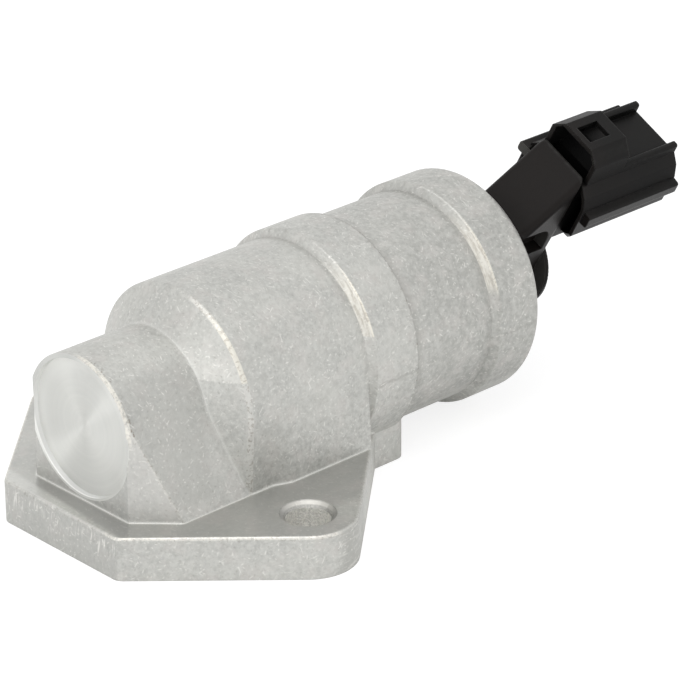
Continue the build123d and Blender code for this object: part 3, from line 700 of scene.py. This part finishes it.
def black_plastic():
    """The connector's finish: open faces, painted shade in hollows and on the near side, glossier faces
    below.
    """
    f = new_finish("black_plastic")
    point, x = place(f)[:2]
    facing = f.node("ShaderNodeNewGeometry")["Normal"]
    cloudy = f.noise(point, 0.16, 3.0)
    grain = f.noise(point, 7.0, 2.0, 0.6)
    rubbed = outer_edge(f, 0.5).rise(0.2, 0.55) * f.noise(point, 0.9, 2.0).rise(0.25, 0.65)
    resin = f.mix(cloudy.rise(0.35, 0.7), (0.0052, 0.005, 0.0047, 1), (0.0075, 0.0066, 0.006, 1))
    resin = f.mix(x.rise(75, 68) * 0.6, resin, (0.0125, 0.0098, 0.0088, 1))
    resin = f.mix(rubbed * 0.5, resin, (0.03, 0.03, 0.028, 1))
    # Painted light: the back face of the neck is lifted to a lighter colour.
    neck_back = f.along(facing, (-1, 0, 0)).rise(0.7, 0.95) * x.rise(NECK_BACK_MM + 0.2, NECK_BACK_MM)
    resin = f.mix(neck_back, resin, (0.06, 0.058, 0.054, 1))
    roughness = 0.42 + (cloudy - 0.5) * 0.14 + (grain - 0.5) * 0.1 - rubbed * 0.06
    skin = f.bump(grain, FINE_DEPTH, Normal=soft_edge(f, 0.35))
    open_face = f.shader(skin, Base_Color=resin, Roughness=roughness, Specular_IOR_Level=0.14)
    dull_face = f.shader(skin, Base_Color=SOOT, Roughness=0.7, Specular_IOR_Level=0.05)
    low_face = f.shader(skin, Base_Color=resin, Roughness=0.38, Specular_IOR_Level=0.45)
    dull, below = plastic_hollows(f, point, x, facing)
    return f.done(f.blend(below, f.blend(dull, open_face, dull_face), low_face))


plastic_finish = black_plastic()

# %% [markdown]
# The working parts inside are mostly turned on a lathe. Tool marks run round the axis, so their pattern
# depends only on the distance from the axis and the distance along it: noise of those two numbers gives
# rings on a face and bands on a cylinder. One function makes all the metals, and each brings its own
# colours and shine.

# %% Turned metals
TOOL_MARK_DEPTH = 0.00003


def turned_metal(name, dark, light, shine, marks=2.4):
    """A metal with tool marks round the axis; more marks are finer ones."""
    f = new_finish(name)
    point, x, _, _, radius = place(f)
    passes = f.noise(f.join(x, radius), marks, 4.0, 0.7)
    patches = f.noise(point, 0.3, 2.0)
    colour = f.mix(passes.rise(0.3, 0.7) * 0.6 + patches * 0.4, (*dark, 1), (*light, 1))
    roughness = shine + (passes - 0.5) * 0.2 + (patches - 0.5) * 0.1
    skin = f.bump(passes, TOOL_MARK_DEPTH, Normal=soft_edge(f, 0.15))
    return f.done(f.shader(skin, Base_Color=colour, Roughness=roughness, Metallic=1.0))


metal_finishes = {
    "machined_steel": turned_metal("machined_steel", (0.36, 0.36, 0.37), (0.52, 0.52, 0.53), 0.32),
    "turned_aluminium": turned_metal("turned_aluminium", (0.66, 0.67, 0.68), (0.8, 0.81, 0.82), 0.28),
    "brass": turned_metal("brass", (0.62, 0.44, 0.16), (0.78, 0.58, 0.25), 0.3),
    "tinned_brass": turned_metal("tinned_brass", (0.62, 0.61, 0.58), (0.74, 0.73, 0.7), 0.3, 1.2),
    "spring_steel": turned_metal("spring_steel", (0.28, 0.28, 0.29), (0.45, 0.45, 0.46), 0.34, 4.0),
}

# %% [markdown]
# The coil is one solid in the model, but a real winding shows its wires. Modelling each turn would take
# thousands of faces that nobody sees. The wire lies in rings along the barrel, a third of a millimetre
# apart, under a skin of amber enamel, so a sine wave of the distance along the barrel gives both the
# ridges and the painted shade in the grooves between them.

# %% Coil winding
WIRE_PITCH_MM = 0.34
RIDGE_DEPTH = 0.00012


def copper_wire():
    """Enamelled wire, wound in rings."""
    f = new_finish("copper_wire")
    point, x = place(f)[:2]
    turns = x * (2 * math.pi / WIRE_PITCH_MM) + f.noise(point, 0.2) * 1.5
    ridge = f.maths("SINE", turns) * 0.5 + 0.5
    # Painted shade: the grooves between the turns are dark.
    colour = f.mix(ridge, (0.16, 0.05, 0.018, 1), (0.68, 0.3, 0.13, 1))
    colour = f.mix(f.noise(point, 0.5).rise(0.4, 0.7) * 0.4, colour, (0.5, 0.2, 0.07, 1))
    skin = f.bump(ridge, RIDGE_DEPTH)
    return f.done(f.shader(skin, Base_Color=colour, Roughness=0.5 - ridge * 0.22, Metallic=0.85))


winding_finish = copper_wire()

# %% [markdown]
# The two O-rings are black rubber with a little dust on them, and the bobbin is natural nylon, which
# lets light in a short way. A little subsurface scattering keeps nylon from looking like paint.

# %% Rubber and nylon


def black_rubber():
    """Rubber with a little dust."""
    f = new_finish("black_rubber")
    point = place(f)[0]
    dust = f.noise(point, 0.8, 3.0).rise(0.5, 0.8)
    colour = f.mix(dust * 0.5, (0.012, 0.012, 0.012, 1), (0.05, 0.048, 0.045, 1))
    skin = f.bump(f.noise(point, 5.0, 2.0), FINE_DEPTH)
    return f.done(f.shader(skin, Base_Color=colour, Roughness=0.6 + dust * 0.2))


def natural_nylon():
    """Cream-coloured nylon that lets some light in."""
    f = new_finish("natural_nylon")
    point = place(f)[0]
    flow = f.noise(point, 0.25, 3.0)
    colour = f.mix(flow.rise(0.3, 0.7), (0.66, 0.62, 0.5, 1), (0.76, 0.73, 0.62, 1))
    skin = f.bump(f.noise(point, 3.0, 2.0), FINE_DEPTH, Normal=soft_edge(f, 0.2))
    return f.done(f.shader(skin, Base_Color=colour, Roughness=0.42 + (flow - 0.5) * 0.1,
                           Subsurface_Weight=0.1, Subsurface_Scale=0.002))


finishes = {
    "cast_aluminium": body_finish,
    "black_plastic": plastic_finish,
    "copper_wire": winding_finish,
    "black_rubber": black_rubber(),
    "natural_nylon": natural_nylon(),
    **metal_finishes,
}

# %% [markdown]
# The packed record says which finish each piece takes, so the pieces are dressed from it, and a piece
# that changes its finish there changes it here too. A piece keeps its own mesh, and only its material
# slot is filled.

# %% Dress the pieces
dressed = {part["node"]: part["material_slot"] for part in frame["record"]["subparts"]}
for name, thing in nodes.items():
    thing.data.materials.clear()
    thing.data.materials.append(finishes[dressed[name]])
print("dressed", len(dressed), "pieces in", len(finishes), "finishes")

# %% [markdown]
# The return spring gets shorter as the valve opens, and a rigid piece can't do that. So a new spring of
# the same size stands for it: a tube swept along a helix. A curve with a bevel could make it, but points
# worked out one by one need no curve object and come out the same every time.

# %% Spring wire
SPRING_TURNS = 5
WIRE_RADIUS = 0.0005
STEPS_PER_TURN = 48
SIDES = 14
AXIS = AXIS_MM / MM
spring_low, spring_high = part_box("return_spring")
coil = (spring_high.y - spring_low.y) / 2 - WIRE_RADIUS
start, end = spring_low.x + WIRE_RADIUS, spring_high.x - WIRE_RADIUS


def spring_ring(share):
    """Ring of points round the wire at a share of the way along it."""
    angle = 2 * math.pi * SPRING_TURNS * share
    out = Vector((0, math.sin(angle), -math.cos(angle)))
    spot = Vector((start + (end - start) * share, 0, AXIS)) + coil * out
    rate = 2 * math.pi * SPRING_TURNS * coil
    along = Vector((end - start, rate * math.cos(angle), rate * math.sin(angle))).normalized()
    side = along.cross(out).normalized()
    out = side.cross(along)
    corners = [2 * math.pi * k / SIDES for k in range(SIDES)]
    return [spot + WIRE_RADIUS * (out * math.cos(a) + side * math.sin(a)) for a in corners]


spring_length = spring_high.x - spring_low.x
print("spring", round(MM * spring_length, 2), "mm long, coils", round(2 * MM * coil, 2), "mm across")

# %% [markdown]
# Rings of points become a tube when each ring is joined to the next by four-sided faces, and two flat
# ends close it. The tube then takes the place of the packed spring, which is hidden, and is attached to
# the body.

# %% Return spring


def spring_mesh():
    """Tube of four-sided faces along the helix, with closed ends."""
    count = SPRING_TURNS * STEPS_PER_TURN
    points = [point for step in range(count + 1) for point in spring_ring(step / count)]
    faces = []
    for step in range(count):
        for k in range(SIDES):
            here = step * SIDES + k
            beside = step * SIDES + (k + 1) % SIDES
            faces.append((here, here + SIDES, beside + SIDES, beside))
    faces.append(tuple(range(SIDES)))
    faces.append(tuple(reversed(range(count * SIDES, (count + 1) * SIDES))))
    mesh = bpy.data.meshes.new("coil_spring")
    mesh.from_pydata(points, [], faces)
    mesh.polygons.foreach_set("use_smooth", [len(face.vertices) == 4 for face in mesh.polygons])
    return mesh


spring = bpy.data.objects.new("coil_spring", spring_mesh())
spring.data.materials.append(finishes["spring_steel"])
bpy.context.scene.collection.objects.link(spring)
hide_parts("return_spring")
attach(spring, "body")
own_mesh(spring)
print("spring of", SPRING_TURNS, "turns,", len(spring.data.polygons), "faces")

# %% [markdown]
# The photograph has a plain white ground. White paper under a bright lamp would throw far too much light
# on the metal, so the floor glows a little for the camera and for reflections only, and bounces an
# ordinary amount of light. It still darkens where the valve keeps the light off it.

# %% Floor
FLOOR_HALF = 3.0
FLOOR_HEIGHT = -0.00002


def paper(f, grey, glow):
    """Matt paper with a faint glow of its own."""
    matt = f.node("ShaderNodeBsdfDiffuse", {}, {"Color": (grey, grey, grey, 1)})
    light = f.node("ShaderNodeEmission", {}, {"Strength": glow})
    return f.node("ShaderNodeAddShader", {}, {0: matt, 1: light})


def white_floor():
    """Paper that is white for the camera, bright in reflections and plain for the rest."""
    f = new_finish("studio_floor")
    path = f.node("ShaderNodeLightPath")
    mirrored = path["Is Glossy Ray"].most(path["Is Transmission Ray"])
    plain = f.node("ShaderNodeBsdfDiffuse", {}, {"Color": (0.8, 0.8, 0.8, 1)})
    unseen = f.blend(mirrored, plain, paper(f, 0.85, 0.1))
    return f.done(f.blend(path["Is Camera Ray"], unseen, paper(f, 0.3, 0.8)))


signs = ((-1, -1), (1, -1), (1, 1), (-1, 1))
corners = [(x * FLOOR_HALF, y * FLOOR_HALF, FLOOR_HEIGHT) for x, y in signs]
floor_mesh = bpy.data.meshes.new("studio_floor")
floor_mesh.from_pydata(corners, [], [(0, 1, 2, 3)])
floor_mesh.materials.append(white_floor())
floor = bpy.data.objects.new("studio_floor", floor_mesh)
bpy.context.scene.collection.objects.link(floor)
print("floor", 2 * FLOOR_HALF, "m square")

# %% [markdown]
# Metal looks like what it reflects, so the room matters as much as the lamps. An image of a studio could
# light it, but a plain gradient is enough: the sky is white at the horizon and greyer overhead, as in
# a light tent. One soft lamp stands low in front, where the ramps and the turned disc face, and a larger
# one hangs above.

# %% Light
HORIZON = (1.0, 1.0, 1.0, 1)
ZENITH = (0.88, 0.88, 0.88, 1)
LAMPS = {
    "key_lamp": dict(place=(-0.55, -0.085, 0.25), size=0.3, power=0.32),
    "top_lamp": dict(place=(-0.1, -0.1, 0.6), size=0.5, power=1.0),
}
AIM = Vector((0.03, 0, 0.02))


def light_tent():
    """World that is white at the horizon and greyer overhead."""
    world = bpy.data.worlds.new("light_tent")
    bpy.context.scene.world = world
    f = Finish(world)
    direction = f.node("ShaderNodeTexCoord")["Generated"]
    height = f.node("ShaderNodeSeparateXYZ", {}, {0: direction})["Z"]
    sky = f.mix(height.rise(0.0, 0.9), HORIZON, ZENITH)
    f.done(f.node("ShaderNodeBackground", {}, {"Color": sky}))


def soft_lamp(name, place, size, power):
    """Round area lamp that looks at the middle of the valve."""
    data = bpy.data.lights.new(name, "AREA")
    data.shape = "DISK"
    data.size = size
    data.energy = power
    lamp = bpy.data.objects.new(name, data)
    lamp.location = place
    lamp.rotation_euler = (AIM - lamp.location).to_track_quat("-Z", "Y").to_euler()
    bpy.context.scene.collection.objects.link(lamp)
    print("lamp", name, "at", round((lamp.location - AIM).length, 2), "m,", power, "W")


light_tent()
for name, settings in LAMPS.items():
    soft_lamp(name, **settings)

# %% [markdown]
# The Standard view shows a colour as it is written, with no film look over it.

# %% View transform
bpy.context.scene.view_settings.view_transform = "Standard"
